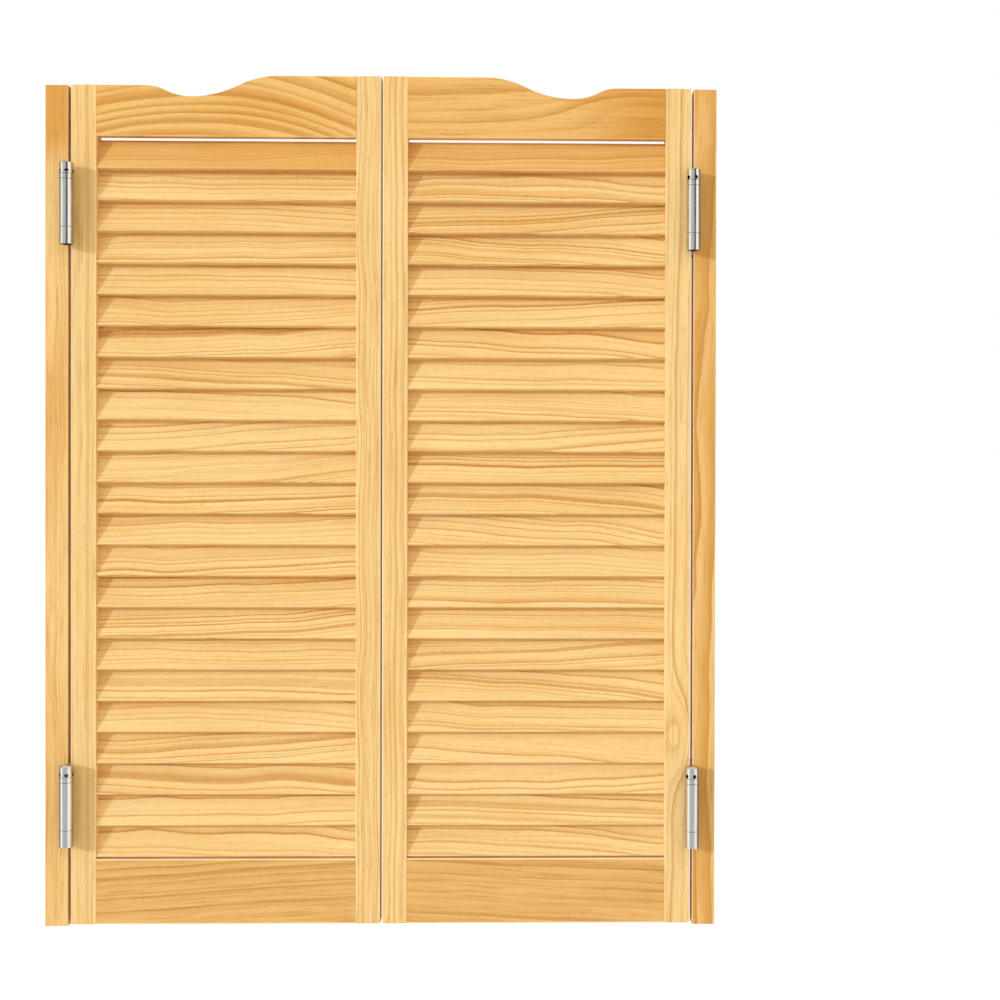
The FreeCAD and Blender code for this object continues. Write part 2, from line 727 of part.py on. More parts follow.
def make_leaf(label, x, foot, turn):
    """A leaf: a flat plate screwed to the wood, rolled into the end knuckles of the barrel at +Y."""
    body = new_body(label)
    outline = [
        (minus("sizes.leaf_free_edge"), "0"),
        (PLATE_REACH, "0"),
        (PLATE_REACH, "sizes.bottom_knuckle"),
        ("sizes.leaf_cutback", "sizes.bottom_knuckle"),
        ("sizes.leaf_cutback", TOP_KNUCKLE_FOOT),
        (PLATE_REACH, TOP_KNUCKLE_FOOT),
        (PLATE_REACH, TOP_KNUCKLE_TOP),
        ("sizes.leaf_cutback", TOP_KNUCKLE_TOP),
        ("sizes.leaf_cutback", COLLAR_TOP),
        (minus("sizes.leaf_free_edge"), COLLAR_TOP),
    ]
    plate = new_sketch(body, "plate", "YZ_Plane", lift=LEAF_FACE)
    draw_polygon(plate, outline)
    pad(body, plate, "sizes.hinge_metal", reverse=True)
    bottom = new_sketch(body, "bottom_knuckle", "XY_Plane")
    draw_tube(bottom, BARREL_Y)
    pad(body, bottom, "sizes.bottom_knuckle")
    top = new_sketch(body, "top_knuckle", "XY_Plane", lift=TOP_KNUCKLE_FOOT)
    draw_tube(top, BARREL_Y)
    pad(body, top, "sizes.top_knuckle")
    holes = new_sketch(body, "screw_holes", "YZ_Plane", lift=LEAF_FACE)
    for y, height in leaf_hole_centres(1):
        draw_circle(holes, y, height, "sizes.leaf_hole / 2")
    countersunk_holes(body, holes, "sizes.leaf_hole", "sizes.leaf_hole_mouth")
    place(body, x=x, z=foot, turn=turn)


def make_web(label, x, foot):
    """The plate between the two barrels, with a middle knuckle at each of its edges."""
    body = new_body(label)
    right_side = [
        ("sizes.web_cutback", "0"),
        ("sizes.web_cutback", MIDDLE_FOOT),
        (PLATE_REACH, MIDDLE_FOOT),
        (PLATE_REACH, MIDDLE_TOP),
        ("sizes.web_cutback", MIDDLE_TOP),
        ("sizes.web_cutback", COLLAR_TOP),
    ]
    left_side = [(minus(y), z) for y, z in reversed(right_side)]
    plate = new_sketch(body, "plate", "YZ_Plane")
    draw_polygon(plate, right_side + left_side)
    pad(body, plate, "sizes.hinge_metal", midplane=True)
    for y in (BARREL_Y, minus(BARREL_Y)):
        knuckle = new_sketch(body, "middle_knuckle", "XY_Plane", lift=MIDDLE_FOOT)
        draw_tube(knuckle, y)
        pad(body, knuckle, "sizes.middle_knuckle")
    place(body, x=x, z=foot)


def make_spindle(label, x, y, foot, turn):
    """A plug that closes the barrel's foot and bears in the middle knuckle, and the rod on it."""
    rod_top = f"({SOCKET_TOP} - sizes.rod_end_room)"
    plug_radius = f"({BORE_RADIUS} - sizes.running_play)"
    outline = [
        ("0", minus("sizes.nub_height")),
        ("sizes.nub_radius", minus("sizes.nub_height")),
        ("sizes.nub_radius", "0"),
        (plug_radius, "0"),
        (plug_radius, PLUG_TOP),
        ("sizes.rod_radius", PLUG_TOP),
        ("sizes.rod_radius", rod_top),
        ("0", rod_top),
    ]
    body = new_body(label)
    turned(body, outline)
    place(body, x=x, y=y, z=foot, turn=turn)


def make_collar(label, x, y, foot, turn):
    """The tension collar: a ring with holes for a bar and the stop pin, on a stem in the barrel."""
    stem_radius = f"({BORE_RADIUS} - sizes.running_play)"
    socket_radius = "(sizes.rod_radius + sizes.rod_socket_play)"
    dome_foot = f"({COLLAR_TOP} - sizes.collar_dome)"
    outline = [
        (socket_radius, STEM_FOOT),
        (stem_radius, STEM_FOOT),
        (stem_radius, COLLAR_FOOT),
        ("sizes.barrel_radius", COLLAR_FOOT),
        ("sizes.barrel_radius", f"({dome_foot} - sizes.collar_bevel)"),
        ("(sizes.barrel_radius - sizes.collar_bevel)", dome_foot),
        ("(sizes.barrel_radius / 2)", COLLAR_TOP),
        ("0", COLLAR_TOP),
        ("0", SOCKET_TOP),
        (socket_radius, SOCKET_TOP),
    ]
    body = new_body(label)
    turned(body, outline)
    around = FreeCAD.Vector(0, 1, 0)
    holes = new_sketch(body, "bar_hole", "XZ_Plane", turn="-sizes.stop_pin_angle", turn_axis=around)
    draw_circle(holes, "0", f"({COLLAR_TOP} - sizes.bar_hole_drop)", "sizes.bar_hole / 2")
    bore = pocket(body, holes, "2 * sizes.barrel_radius", reverse=True)
    ring_pattern(body, bore, 360, "sizes.bar_holes")
    place(body, x=x, y=y, z=foot, turn=turn)


def make_spring(label, x, y, foot, turn):
    """A torsion spring wound around the rod, between the plug and the collar's stem."""
    body = new_body(label)
    wire = new_sketch(body, "wire", "XZ_Plane")
    spring_foot = f"({PLUG_TOP} + sizes.spring_wire_radius + sizes.end_play)"
    draw_circle(wire, "sizes.spring_radius", spring_foot, "sizes.spring_wire_radius")
    coil = body.newObject("PartDesign::AdditiveHelix", "coil")
    coil.Profile = wire
    coil.ReferenceAxis = (origin_part(body, "Z_Axis"), [""])
    coil.Mode = "pitch-height-angle"
    coil.setExpression("Pitch", "sizes.spring_pitch")
    room = f"{STEM_FOOT} - {PLUG_TOP} - 2 * sizes.spring_wire_radius - 2 * sizes.end_play"
    coil.setExpression("Height", room)
    place(body, x=x, y=y, z=foot, turn=turn)


def make_hinge(side, level, sign):
    """One double-action spring hinge. Seen from above it looks the same from both ends.

    On the left the barrel at the back belongs to the jamb and the one at the front to the door; the
    right-hand hinge is the same hinge turned half round.
    """
    x = f"({sign} * {HINGE_X})"
    foot = hinge_foot(side, level)
    make_web(f"{side}_{level}_web", x, foot)
    for carrier, barrel in (("jamb", -sign), ("door", sign)):
        turn = 0 if barrel > 0 else 180
        y = f"({barrel} * {BARREL_Y})"
        name = f"{side}_{level}_{carrier}"
        make_leaf(f"{name}_leaf", x, foot, turn)
        make_spindle(f"{name}_spindle", x, y, foot, turn)
        make_spring(f"{name}_spring", x, y, foot, turn)
        make_collar(f"{name}_collar", x, y, foot, turn)


def make_hinge_fasteners(side, sign, screw, stop_pin):
    """The screws and stop pins of one side's two hinges, in a group for each carrier."""
    for carrier, barrel in (("jamb", -sign), ("door", sign)):
        screw_places = []
        pin_places = []
        entry = FreeCAD.Rotation(FreeCAD.Vector(0, 1, 0), 90 * barrel)
        face = f"({sign} * {HINGE_X} + {barrel} * {LEAF_FACE})"
        heading = -90 - value("sizes.stop_pin_angle") + (0 if barrel > 0 else 180)
        pin_x = f"({sign} * {HINGE_X} + sizes.stop_pin_start * cos({heading} deg))"
        pin_y = f"({barrel} * {BARREL_Y} + sizes.stop_pin_start * sin({heading} deg))"
        outwards = FreeCAD.Rotation(UP, heading) * FreeCAD.Rotation(FreeCAD.Vector(0, 1, 0), 90)
        for level in HINGE_LEVELS:
            foot = hinge_foot(side, level)
            for y, height in leaf_hole_centres(barrel):
                screw_places.append((face, y, f"({foot} + {height})", entry))
            pin_height = f"({foot} + {COLLAR_TOP} - sizes.bar_hole_drop)"
            pin_places.append((pin_x, pin_y, pin_height, outwards))
        group_of_copies(f"{side}_{carrier}_leaf_screws", screw, screw_places)
        group_of_copies(f"{side}_{carrier}_stop_pins", stop_pin, pin_places)


# ---------------------------------------------------------------- the assembly and its files


def make_all():
    dowel = make_dowel()
    screw = make_screw()
    stop_pin = make_stop_pin()
    make_jamb_strip("left", turn=0)
    make_jamb_strip("right", turn=180)
    for side, sign in (("left", -1), ("right", 1)):
        make_door(side, sign, dowel)
        for level in HINGE_LEVELS:
            make_hinge(side, level, sign)
        make_hinge_fasteners(side, sign, screw, stop_pin)
    doc.recompute()


def write_parts():
    """Stops on any failed object or bad shape, and otherwise writes one file for each sub-part."""
    failed = [item.Label for item in doc.Objects if {"Invalid", "Error"} & set(item.State)]
    if failed:
        raise RuntimeError(f"failed objects: {failed}")
    bad = [piece.Label for piece in pieces if piece.Shape.isNull() or not piece.Shape.isValid()]
    if bad:
        raise RuntimeError(f"bad shapes: {bad}")
    os.makedirs("parts", exist_ok=True)
    for piece in pieces:
        piece.Shape.exportStep(f"parts/{piece.Label}.step")
        box = piece.Shape.BoundBox
        print(f"{piece.Label}: {len(piece.Shape.Solids)} solid(s), {piece.Shape.Volume:.0f} mm3, "
              f"x {box.XMin:.2f}..{box.XMax:.2f}, y {box.YMin:.2f}..{box.YMax:.2f}, "
              f"z {box.ZMin:.2f}..{box.ZMax:.2f}")


make_all()
write_parts()
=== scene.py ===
import json
import math

import bpy
import numpy as np
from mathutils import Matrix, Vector


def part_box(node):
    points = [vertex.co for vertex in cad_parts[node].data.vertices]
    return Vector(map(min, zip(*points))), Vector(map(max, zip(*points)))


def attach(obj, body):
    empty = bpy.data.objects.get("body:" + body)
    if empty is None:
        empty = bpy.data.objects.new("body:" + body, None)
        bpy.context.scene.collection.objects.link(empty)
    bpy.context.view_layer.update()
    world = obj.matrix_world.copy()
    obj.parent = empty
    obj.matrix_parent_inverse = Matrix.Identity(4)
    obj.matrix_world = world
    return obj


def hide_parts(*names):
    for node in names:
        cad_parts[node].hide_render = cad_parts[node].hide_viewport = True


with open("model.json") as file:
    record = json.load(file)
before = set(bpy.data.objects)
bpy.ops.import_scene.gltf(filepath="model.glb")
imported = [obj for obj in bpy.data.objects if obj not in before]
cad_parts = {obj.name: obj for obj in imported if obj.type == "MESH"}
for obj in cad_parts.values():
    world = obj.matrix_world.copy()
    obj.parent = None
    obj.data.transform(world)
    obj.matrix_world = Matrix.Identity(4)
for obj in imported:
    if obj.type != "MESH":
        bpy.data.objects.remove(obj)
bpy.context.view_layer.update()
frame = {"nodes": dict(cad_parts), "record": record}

# ---------------------------------------------------------------------------------------------
# Jamb strips
# Two planed lengths of pine with eased arrises, one each side of the opening. Three countersunk
# screws hold each one to the wall, and the hinges hang from it.


def feed(tree, socket, value):
    """Links value to the socket if it comes out of a node, and otherwise sets it there."""
    if isinstance(value, bpy.types.NodeSocket):
        tree.links.new(value, socket)
    else:
        socket.default_value = value


def calc(tree, operation, *values):
    """The result of a Math node."""
    node = tree.nodes.new("ShaderNodeMath")
    node.operation = operation
    for socket, value in zip(node.inputs, values):
        feed(tree, socket, value)
    return node.outputs["Value"]


def move(tree, operation, *values):
    """The result of a Vector Math node that puts out a vector."""
    node = tree.nodes.new("ShaderNodeVectorMath")
    node.operation = operation
    for socket, value in zip(node.inputs, values):
        feed(tree, socket, value)
    return node.outputs["Vector"]


def split(tree, vector):
    """The three numbers of a vector."""
    node = tree.nodes.new("ShaderNodeSeparateXYZ")
    feed(tree, node.inputs["Vector"], vector)
    return node.outputs["X"], node.outputs["Y"], node.outputs["Z"]


def join(tree, x, y, z):
    """A vector from three numbers."""
    node = tree.nodes.new("ShaderNodeCombineXYZ")
    for socket, value in zip(node.inputs, (x, y, z)):
        feed(tree, socket, value)
    return node.outputs["Vector"]


def rise(tree, value, low, high, start=0.0, end=1.0):
    """A smooth step from start to end as value goes from low to high."""
    node = tree.nodes.new("ShaderNodeMapRange")
    node.interpolation_type = "SMOOTHSTEP"
    for name, number in (("Value", value), ("From Min", low), ("From Max", high)):
        feed(tree, node.inputs[name], number)
    feed(tree, node.inputs["To Min"], start)
    feed(tree, node.inputs["To Max"], end)
    return node.outputs["Result"]


def noise(tree, point, seed, stretch, detail=2.0, rough=0.5):
    """A Noise node in four dimensions; stretch is how many times a metre it changes each way."""
    node = tree.nodes.new("ShaderNodeTexNoise")
    node.noise_dimensions = "4D"
    feed(tree, node.inputs["Vector"], move(tree, "MULTIPLY", point, stretch))
    feed(tree, node.inputs["W"], seed)
    node.inputs["Scale"].default_value = 1.0
    node.inputs["Detail"].default_value = detail
    node.inputs["Roughness"].default_value = rough
    return node


def chance(tree, value):
    """A number from 0 to 1 that is the same wherever value is the same."""
    node = tree.nodes.new("ShaderNodeTexWhiteNoise")
    node.noise_dimensions = "1D"
    feed(tree, node.inputs["W"], value)
    return node.outputs["Value"]


def length(tree, first, second):
    """The length of the long side of a right triangle, from its two short sides."""
    squares = calc(tree, "MULTIPLY_ADD", first, first, calc(tree, "MULTIPLY", second, second))
    return calc(tree, "SQRT", squares)


def clamp(tree, value):
    """The value kept between 0 and 1."""
    node = tree.nodes.new("ShaderNodeClamp")
    feed(tree, node.inputs["Value"], value)
    return node.outputs["Result"]


def blend(tree, share, first, second):
    """A Mix node for colours."""
    node = tree.nodes.new("ShaderNodeMix")
    node.data_type = "RGBA"
    sockets = [s for s in node.inputs if s.type == "RGBA"]
    feed(tree, node.inputs["Factor"], share)
    feed(tree, sockets[0], first)
    feed(tree, sockets[1], second)
    return next(s for s in node.outputs if s.type == "RGBA")


def colour(red, green, blue):
    """A colour given as it shows on a screen, 0 to 255, as the linear one that shaders take."""
    screen = np.array([red, green, blue]) / 255
    linear = np.where(screen <= 0.04045, screen / 12.92, ((screen + 0.055) / 1.055) ** 2.4)
    return (*linear.tolist(), 1.0)


def start_group(name, inputs, outputs):
    """A new shader node group. inputs and outputs map each socket's name to its kind."""
    group = bpy.data.node_groups.new(name, "ShaderNodeTree")
    for label, kind in inputs.items():
        group.interface.new_socket(label, in_out="INPUT", socket_type=f"NodeSocket{kind}")
    for label, kind in outputs.items():
        group.interface.new_socket(label, in_out="OUTPUT", socket_type=f"NodeSocket{kind}")
    inner = group.nodes.new("NodeGroupInput").outputs
    outer = group.nodes.new("NodeGroupOutput").inputs
    return group, inner, outer


def use_group(tree, group, **values):
    """A node that uses the group, its inputs given by name with _ for spaces."""
    node = tree.nodes.new("ShaderNodeGroup")
    node.node_tree = group
    for label, value in values.items():
        feed(tree, node.inputs[label.replace("_", " ")], value)
    return node.outputs


def make_growth_rings():
    """Where a board shows the soft band and the thin dark line of each growth ring.

    A board's point is x along the grain, y across its face and z through it, in metres. Its
    distance from the tree's pith, whose line leans and bows along the board, is bent by a slow
    wander and pushed outwards around a knot, then divided by the ring width. Within each ring the
    wood darkens slowly to its late wood and pales again at once. Flow is the point with the same
    lean, bow and wander, along which the fibres run.
    """
    kinds = {"Point": "Vector", "Seed": "Float", "Pith": "Vector", "Lean": "Float", "Bow": "Float"}
    kinds |= {"Ring": "Float", "Wander": "Float", "Knot": "Vector", "Knot Size": "Float"}
    kinds |= {"Uneven": "Float"}
    results = {"Band": "Float", "Line": "Float", "Flow": "Vector"}
    tree, given, out = start_group("growth_rings", kinds, results)
    along, across, through = split(tree, given["Point"])
    pith = split(tree, given["Pith"])
    drift = noise(tree, given["Point"], given["Seed"], (7.0, 13.0, 13.0), 2.0, 0.4).outputs["Color"]
    drift = split(tree, move(tree, "SUBTRACT", drift, (0.5, 0.5, 0.5)))
    bend = calc(tree, "MULTIPLY_ADD", calc(tree, "MULTIPLY", along, given["Bow"]), along, pith[1])
    bend = calc(tree, "MULTIPLY_ADD", along, given["Lean"], bend)
    side = calc(tree, "MULTIPLY_ADD", drift[0], given["Wander"], calc(tree, "SUBTRACT", across, bend))
    deep = calc(tree, "MULTIPLY_ADD", drift[1], given["Wander"], calc(tree, "SUBTRACT", through, pith[2]))
    reach = length(tree, side, deep)
    spot = split(tree, given["Knot"])
    slow = calc(tree, "DIVIDE", calc(tree, "SUBTRACT", along, spot[0]), given["Knot Size"])
    quick = calc(tree, "DIVIDE", calc(tree, "SUBTRACT", across, spot[1]), given["Knot Size"])
    away = length(tree, calc(tree, "MULTIPLY", slow, 0.3), quick)
    push = calc(tree, "EXPONENT", calc(tree, "MULTIPLY", calc(tree, "MULTIPLY", away, away), -1.0))
    reach = calc(tree, "MULTIPLY_ADD", push, given["Knot Size"], reach)
    uneven = tree.nodes.new("ShaderNodeTexNoise")
    uneven.noise_dimensions = "1D"
    rings = calc(tree, "DIVIDE", reach, given["Ring"])
    feed(tree, uneven.inputs["W"], calc(tree, "MULTIPLY_ADD", rings, 0.55, given["Seed"]))
    uneven.inputs["Scale"].default_value = 1.0
    uneven.inputs["Detail"].default_value = 1.0
    rings = calc(tree, "MULTIPLY_ADD", uneven.outputs["Fac"], given["Uneven"], rings)
    within = calc(tree, "FRACT", rings)
    year = calc(tree, "MULTIPLY_ADD", given["Seed"], 7.3, calc(tree, "FLOOR", rings))
    strength = chance(tree, year)
    ending = rise(tree, within, 0.92, 1.0, 1.0, 0.0)
    band = calc(tree, "MULTIPLY", rise(tree, within, 0.2, 0.9), ending)
    line = calc(tree, "MULTIPLY", rise(tree, within, 0.68, 0.9), ending)
    feed(tree, out["Band"], calc(tree, "MULTIPLY", band, calc(tree, "MULTIPLY_ADD", strength, 0.7, 0.3)))
    feed(tree, out["Line"], calc(tree, "MULTIPLY", line, calc(tree, "MULTIPLY_ADD", strength, 0.8, 0.2)))
    feed(tree, out["Flow"], join(tree, along, side, deep))
    return tree


def make_fibres():
    """Fine grain along a board: thin streaks, slow changes of tone, short flecks, dark resin marks."""
    kinds = {"Point": "Vector", "Seed": "Float"}
    results = {"Streak": "Float", "Tone": "Float", "Fleck": "Float", "Resin": "Float"}
    tree, given, out = start_group("fibres", kinds, results)
    fine = noise(tree, given["Point"], given["Seed"], (10.0, 430.0, 430.0), 3.0, 0.65)
    feed(tree, out["Streak"], calc(tree, "SUBTRACT", fine.outputs["Fac"], 0.5))
    slow = noise(tree, given["Point"], given["Seed"], (4.5, 30.0, 30.0), 2.0)
    feed(tree, out["Tone"], calc(tree, "SUBTRACT", slow.outputs["Fac"], 0.5))
    flecks = noise(tree, given["Point"], given["Seed"], (130.0, 700.0, 700.0), 2.0)
    feed(tree, out["Fleck"], rise(tree, flecks.outputs["Fac"], 0.5, 0.72))
    marks = noise(tree, given["Point"], given["Seed"], (190.0, 500.0, 500.0), 0.0)
    feed(tree, out["Resin"], rise(tree, marks.outputs["Fac"], 0.84, 0.88))
    return tree


def make_eased_arris():
    """How near a point is to a board's long edges, 1 on the rounding and 0 from reach inwards."""
    kinds = {"Point": "Vector", "Half Width": "Float", "Half Thickness": "Float", "Reach": "Float"}
    tree, given, out = start_group("eased_arris", kinds, {"Edge": "Float"})
    point = split(tree, given["Point"])
    over = calc(tree, "SUBTRACT", calc(tree, "ABSOLUTE", point[1]), given["Half Width"])
    past = calc(tree, "SUBTRACT", calc(tree, "ABSOLUTE", point[2]), given["Half Thickness"])
    inside = calc(tree, "MULTIPLY", calc(tree, "ADD", over, past), -1.0)
    feed(tree, out["Edge"], rise(tree, inside, 0.0, given["Reach"], 1.0, 0.0))
    return tree


GROWTH_RINGS = make_growth_rings()
FIBRES = make_fibres()
EASED_ARRIS = make_eased_arris()
ARRIS_REACH = 0.0024
PALE_PINE = colour(251, 215, 148)
WARM_PINE = colour(233, 176, 94)
DARK_PINE = colour(196, 134, 60)
RESIN = colour(138, 84, 36)
# The colour of the painted highlight laid along the boards' rounded arrises.
ARRIS_HIGHLIGHT_PINE = colour(255, 229, 178)
NO_KNOT = (9.0, 0.0, 0.0)
SEED_COUNT = 97


def pine(name, point, seed, half_width, half_thickness, pale=PALE_PINE, warm=WARM_PINE, dark=DARK_PINE,
         pith=(0.0, 0.02, 0.03), lean=0.0, bow=0.0, ring=0.005, wander=0.008, knot=NO_KNOT,
         knot_size=0.01, uneven=2.4, band=0.6, line=0.6, hair=0.4, tone=0.9, edge=0.5, shade=0.0):
    """Planed and varnished pine.

    point builds the board's own point in the material's node tree. The wood goes from pale to warm
    with the rings' soft bands and the slow tone, and to dark on the rings' thin lines, on the finer
    hairs between them and on the flecks. shade makes a whole board warmer, and edge gives how
    strongly a painted highlight pales its rounded arrises. seed, pith, lean, bow, ring, knot and
    shade may be values or functions of the tree and the board's seed, so that one material can
    serve many boards.
    """
    material = bpy.data.materials.new(name)
    material.use_nodes = True
    tree = material.node_tree
    surface = tree.nodes["Principled BSDF"]
    where = point(tree)
    seed = seed(tree) if callable(seed) else seed
    facts = (pith, lean, bow, ring, knot, shade)
    pith, lean, bow, ring, knot, shade = (fact(tree, seed) if callable(fact) else fact for fact in facts)
    rings = use_group(tree, GROWTH_RINGS, Point=where, Seed=seed, Pith=pith, Lean=lean, Bow=bow, Ring=ring,
                      Wander=wander, Knot=knot, Knot_Size=knot_size, Uneven=uneven)
    fibres = use_group(tree, FIBRES, Point=rings["Flow"], Seed=seed)
    arris = use_group(tree, EASED_ARRIS, Point=where, Half_Width=half_width,
                      Half_Thickness=half_thickness, Reach=ARRIS_REACH)
    warmth = calc(tree, "MULTIPLY_ADD", rings["Band"], band, shade)
    warmth = calc(tree, "MULTIPLY_ADD", fibres["Tone"], tone, warmth)
    warmth = calc(tree, "MULTIPLY_ADD", fibres["Streak"], 0.5, warmth)
    wood = blend(tree, clamp(tree, calc(tree, "ADD", warmth, 0.05)), pale, warm)
    lines = calc(tree, "MULTIPLY", rings["Line"], line)
    lines = calc(tree, "MULTIPLY_ADD", rise(tree, fibres["Streak"], 0.0, 0.2), hair, lines)
    lines = calc(tree, "MULTIPLY_ADD", fibres["Fleck"], 0.2, lines)
    wood = blend(tree, clamp(tree, lines), wood, dark)
    wood = blend(tree, calc(tree, "MULTIPLY", fibres["Resin"], 0.5), wood, RESIN)
    # Painted highlight: the rounded arrises are paled as if they caught the light.
    wood = blend(tree, clamp(tree, calc(tree, "MULTIPLY", arris["Edge"], edge)), wood, ARRIS_HIGHLIGHT_PINE)
    feed(tree, surface.inputs["Base Color"], wood)
    feed(tree, surface.inputs["Roughness"], rise(tree, fibres["Streak"], -0.3, 0.3, 0.46, 0.6))
    bump = tree.nodes.new("ShaderNodeBump")
    bump.inputs["Strength"].default_value = 0.3
    bump.inputs["Distance"].default_value = 0.0003
    feed(tree, bump.inputs["Height"], calc(tree, "ADD", fibres["Streak"], rings["Band"]))
    feed(tree, surface.inputs["Normal"], bump.outputs["Normal"])
    surface.inputs["Specular IOR Level"].default_value = 0.3
    return material


def board_axes(node, grain):
    """A board's own point for a CAD node whose grain runs along that axis, and its half sizes."""
    low, high = (np.array(corner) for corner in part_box(node))
    middle, half = (low + high) / 2, (high - low) / 2
    order = {"Z": (2, 0, 1), "X": (0, 2, 1)}[grain]

    def point(tree):
        place = tree.nodes.new("ShaderNodeTexCoord").outputs["Object"]
        spread = split(tree, move(tree, "SUBTRACT", place, middle.tolist()))
        return join(tree, *(spread[axis] for axis in order))

    return point, half[order[1]], half[order[2]]


def finish_node(node, material):
    """Gives a CAD node its material, in the slots that it came with."""
    for slot in frame["nodes"][node].material_slots:
        slot.material = material


def plank(node, grain, **grain_facts):
    """Gives the CAD node of one board its own pine."""
    point, half_width, half_thickness = board_axes(node, grain)
    seed = float(sum(map(ord, node)) % SEED_COUNT)
    finish_node(node, pine(f"pine_{node}", point, seed, half_width, half_thickness, **grain_facts))


JAMB_TINTS = {"pale": colour(250, 208, 138), "warm": colour(226, 166, 82), "dark": colour(192, 130, 58)}


def heartwood(axis, low, high, sap, heart):
    """A shade that grows from sap to heart as the place goes from low to high along an axis."""

    def shade(tree, seed):
        place = split(tree, tree.nodes.new("ShaderNodeTexCoord").outputs["Object"])[axis]
        return rise(tree, place, low, high, sap, heart)

    return shade


plank("left_jamb_strip", "Z", **JAMB_TINTS, pith=(0.0, 0.05, 0.02), ring=0.006, wander=0.012,
      shade=heartwood(2, 0.93, 1.02, 0.15, 1.3), tone=2.2, line=0.3)
plank("right_jamb_strip", "Z", **JAMB_TINTS, pith=(0.0, -0.03, 0.03), ring=0.011, lean=0.03, bow=0.05,
      wander=0.016, shade=0.4, line=0.35, tone=1.5, band=0.9, uneven=1.0)

# ---------------------------------------------------------------------------------------------
# Stiles
# Each door's two uprights, of straight-grained pine, mortised on the inner side for the slats. The
# hinge leaves are screwed to the outer edge of the hinge stile.

plank("left_hinge_stile", "Z", pith=(0.0, 0.09, 0.012), ring=0.0036, wander=0.006, tone=0.6, line=0.35)
plank("left_meeting_stile", "Z", pith=(0.0, 0.06, 0.02), ring=0.0042, wander=0.016, tone=0.5, line=0.95)
plank("right_meeting_stile", "Z", pith=(0.0, -0.05, 0.02), ring=0.007, wander=0.008, tone=1.2, line=0.4)
plank("right_hinge_stile", "Z", pith=(0.0, 0.03, 0.02), ring=0.006, lean=0.01, knot=(-0.29, 0.004, 0.0),
      knot_size=0.018, line=0.5)

# ---------------------------------------------------------------------------------------------
# Rails
# Flat-sawn pine boards dowelled between the stiles: the top rail with its sawn scallop, the bottom
# rail plain. They are a little darker and redder than the rest.

TOP_TINTS = {"pale": colour(246, 198, 118), "warm": colour(218, 152, 64), "dark": colour(184, 118, 46)}
FOOT_TINTS = {"pale": colour(238, 188, 112), "warm": colour(214, 152, 72), "dark": colour(180, 118, 48)}
plank("left_top_rail", "X", **TOP_TINTS, pith=(0.0, 0.09, 0.03), ring=0.0115, bow=-1.1, lean=-0.09,
      wander=0.01, uneven=1.0, band=1.2, line=0.3, hair=0.2)
plank("right_top_rail", "X", **TOP_TINTS, pith=(0.0, 0.07, 0.04), ring=0.014, knot=(0.13, 0.005, 0.0),
      knot_size=0.032, uneven=1.0, line=0.3, shade=heartwood(0, 0.2, 0.36, 0.15, 0.75))
# The bottom rails carry a stronger painted highlight on their arrises.
plank("left_bottom_rail", "X", **FOOT_TINTS, pith=(0.0, -0.06, 0.03), ring=0.009, lean=0.06, line=0.3,
      edge=1.4)
plank("right_bottom_rail", "X", **FOOT_TINTS, pith=(0.0, 0.06, 0.03), ring=0.009, lean=-0.05, line=0.3,
      edge=1.4)

# ---------------------------------------------------------------------------------------------
# Slats
# Thin pine boards with round arrises, each cut from its own piece of wood, so that no two have the
# same grain or quite the same tone. Their ends sit loose in the mortises of the stiles.

SLAT_COUNT = 23
SLAT_PITCH = 0.03932
SLAT_THICKNESS = 0.007
SLAT_DEPTH = 0.0425
SLAT_TILT = math.radians(20.0)
SLAT_CORNER = 0.0012
SLAT_END_HOLD = 0.0057
TOP_CLEARANCE = 0.0024
SLAT_STATIONS = 25
CORNER_STEPS = 5
FACE_STEPS = 8
MOST_BOW = 0.0005
MOST_TWIST = 0.012
MOST_SHADE = 0.1
WARMER_SLATS = 7
WARMER_STEP = 0.03
TOP_SLAT_SHADE = 0.5
SLAT_SHARP_ANGLE = math.radians(35)


def slat_outline():
    """Points round a slat's section, anticlockwise: quarter circles joined by straight faces.

    Columns are the distance through the slat and the distance across it. The two faces, which
    follow the second and the fourth corner, are divided evenly, so that they can bend.
    """
    inset = np.array([SLAT_THICKNESS, SLAT_DEPTH]) / 2 - SLAT_CORNER
    middles = np.array([[1, 1], [-1, 1], [-1, -1], [1, -1]]) * inset
    turn = np.linspace(0, math.pi / 2, CORNER_STEPS)[None] + np.arange(4)[:, None] * math.pi / 2
    arcs = middles[:, None] + SLAT_CORNER * np.stack([np.cos(turn), np.sin(turn)], 2)
    share = np.linspace(0, 1, FACE_STEPS + 1)[1:-1, None]
    faces = [arcs[corner, -1] * (1 - share) + arcs[(corner + 1) % 4, 0] * share for corner in (1, 3)]
    return np.concatenate([arcs[0], arcs[1], faces[0], arcs[2], arcs[3], faces[1]])


def give_attribute(mesh, name, kind, numbers):
    """Stores one number or vector for each vertex of the mesh."""
    attribute = mesh.attributes.new(name, kind, "POINT")
    field = "vector" if kind == "FLOAT_VECTOR" else "value"
    attribute.data.foreach_set(field, numbers.astype(np.float32).ravel())


